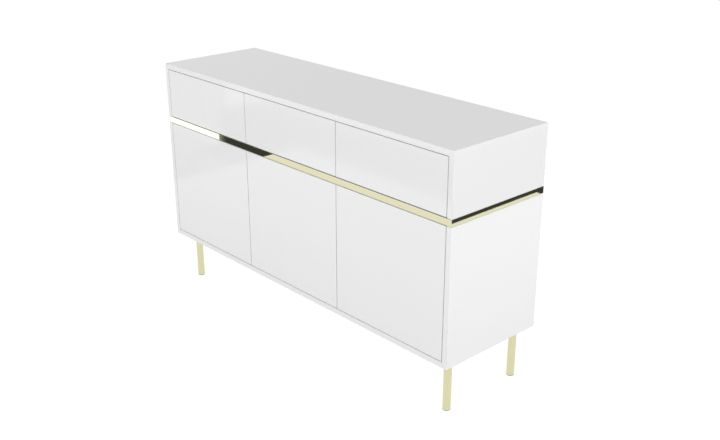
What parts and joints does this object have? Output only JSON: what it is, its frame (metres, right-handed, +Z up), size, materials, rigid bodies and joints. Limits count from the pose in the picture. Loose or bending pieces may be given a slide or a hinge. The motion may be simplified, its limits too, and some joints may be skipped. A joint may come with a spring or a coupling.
{
  "type": "sideboard",
  "caption": "Long low gloss white sideboard on round gold legs, with handleless drawers above a polished strip and handleless doors over shelved bays below.",
  "frame": {"origin": "on the floor, under the middle of the cabinet", "axes": "+Z up, +X to the right along the width as seen from the front, the front faces -Y"},
  "size_m": [1.4, 0.4, 0.838],
  "materials": {
    "white_lacquer": "high gloss white lacquer on board",
    "white_board": "white melamine face with matching edge band",
    "white_sheet": "white faced thin fibreboard",
    "gold_mirror": "polished gold colour",
    "gold_satin": "satin gold colour",
    "zinc": "zinc plated",
    "slide_steel": "galvanised, rolled",
    "grey_plastic": "moulded",
    "white_plastic": "moulded",
    "black_plastic": "moulded"
  },
  "bodies": {
    "carcass": {"top_panel": "white_lacquer", "left_side_panel": "white_lacquer", "right_side_panel": "white_lacquer", "bottom_panel": "white_lacquer", "middle_panel": "white_board", "left_drawer_partition": "white_board", "right_drawer_partition": "white_board", "left_door_partition": "white_board", "right_door_partition": "white_board", "left_shelf": "white_board", "middle_shelf": "white_board", "right_shelf": "white_board", "back_panel": "white_sheet", "front_strip": "gold_mirror", "left_strip": "gold_mirror", "right_strip": "gold_mirror", "front_left_leg": "gold_satin", "front_right_leg": "gold_satin", "rear_left_leg": "gold_satin", "rear_right_leg": "gold_satin", "leg_glides": "black_plastic", "shelf_brackets": "zinc", "pivot_bushes": "white_plastic", "left_cabinet_rails": "slide_steel", "middle_cabinet_rails": "slide_steel", "right_cabinet_rails": "slide_steel", "latch_housings": "white_plastic"},
    "left_drawer": {"left_drawer_front": "white_lacquer", "left_drawer_sides": "white_board", "left_drawer_back": "white_board", "left_drawer_bottom": "white_sheet", "left_drawer_rails": "slide_steel"},
    "left_slide": {"left_intermediate_rails": "slide_steel"},
    "left_door": {"left_door": "white_lacquer", "left_door_pivots": "zinc", "left_strike_plate": "zinc"},
    "left_door_latch": {"left_door_plunger": "grey_plastic"},
    "left_drawer_latch": {"left_drawer_plunger": "grey_plastic"},
    "middle_drawer": {"middle_drawer_front": "white_lacquer", "middle_drawer_sides": "white_board", "middle_drawer_back": "white_board", "middle_drawer_bottom": "white_sheet", "middle_drawer_rails": "slide_steel"},
    "middle_slide": {"middle_intermediate_rails": "slide_steel"},
    "middle_door": {"middle_door": "white_lacquer", "middle_door_pivots": "zinc", "middle_strike_plate": "zinc"},
    "middle_door_latch": {"middle_door_plunger": "grey_plastic"},
    "middle_drawer_latch": {"middle_drawer_plunger": "grey_plastic"},
    "right_drawer": {"right_drawer_front": "white_lacquer", "right_drawer_sides": "white_board", "right_drawer_back": "white_board", "right_drawer_bottom": "white_sheet", "right_drawer_rails": "slide_steel"},
    "right_slide": {"right_intermediate_rails": "slide_steel"},
    "right_door": {"right_door": "white_lacquer", "right_door_pivots": "zinc", "right_strike_plate": "zinc"},
    "right_door_latch": {"right_door_plunger": "grey_plastic"},
    "right_drawer_latch": {"right_drawer_plunger": "grey_plastic"}
  },
  "joints": [
    {"name": "left_drawer_slide", "type": "slide", "parent": "carcass", "child": "left_drawer", "axis": [0, -1, 0], "range_m": [0, 0.34]},
    {"name": "left_rail_slide", "type": "slide", "parent": "carcass", "child": "left_slide", "axis": [0, -1, 0], "range_m": [0, 0.17]},
    {"name": "left_door_hinge", "type": "hinge", "parent": "carcass", "child": "left_door", "pos_m": [-0.66025, -0.191, 0.41], "axis": [0, 0, -1], "range_deg": [0, 95]},
    {"name": "left_door_push", "type": "slide", "parent": "carcass", "child": "left_door_latch", "axis": [0, 1, 0], "range_m": [0, 0.0035], "stiffness_N_per_m": 800},
    {"name": "left_drawer_push", "type": "slide", "parent": "carcass", "child": "left_drawer_latch", "axis": [0, 1, 0], "range_m": [0, 0.0035], "stiffness_N_per_m": 800},
    {"name": "middle_drawer_slide", "type": "slide", "parent": "carcass", "child": "middle_drawer", "axis": [0, -1, 0], "range_m": [0, 0.34]},
    {"name": "middle_rail_slide", "type": "slide", "parent": "carcass", "child": "middle_slide", "axis": [0, -1, 0], "range_m": [0, 0.17]},
    {"name": "middle_door_hinge", "type": "hinge", "parent": "carcass", "child": "middle_door", "pos_m": [-0.20642, -0.191, 0.41], "axis": [0, 0, -1], "range_deg": [0, 95]},
    {"name": "middle_door_push", "type": "slide", "parent": "carcass", "child": "middle_door_latch", "axis": [0, 1, 0], "range_m": [0, 0.0035], "stiffness_N_per_m": 800},
    {"name": "middle_drawer_push", "type": "slide", "parent": "carcass", "child": "middle_drawer_latch", "axis": [0, 1, 0], "range_m": [0, 0.0035], "stiffness_N_per_m": 800},
    {"name": "right_drawer_slide", "type": "slide", "parent": "carcass", "child": "right_drawer", "axis": [0, -1, 0], "range_m": [0, 0.34]},
    {"name": "right_rail_slide", "type": "slide", "parent": "carcass", "child": "right_slide", "axis": [0, -1, 0], "range_m": [0, 0.17]},
    {"name": "right_door_hinge", "type": "hinge", "parent": "carcass", "child": "right_door", "pos_m": [0.66025, -0.191, 0.41], "axis": [0, 0, 1], "range_deg": [0, 95]},
    {"name": "right_door_push", "type": "slide", "parent": "carcass", "child": "right_door_latch", "axis": [0, 1, 0], "range_m": [0, 0.0035], "stiffness_N_per_m": 800},
    {"name": "right_drawer_push", "type": "slide", "parent": "carcass", "child": "right_drawer_latch", "axis": [0, 1, 0], "range_m": [0, 0.0035], "stiffness_N_per_m": 800}
  ],
  "couplings": [
    {"joint": "left_rail_slide", "follows": "left_drawer_slide", "ratio": 0.5},
    {"joint": "middle_rail_slide", "follows": "middle_drawer_slide", "ratio": 0.5},
    {"joint": "right_rail_slide", "follows": "right_drawer_slide", "ratio": 0.5}
  ]
}
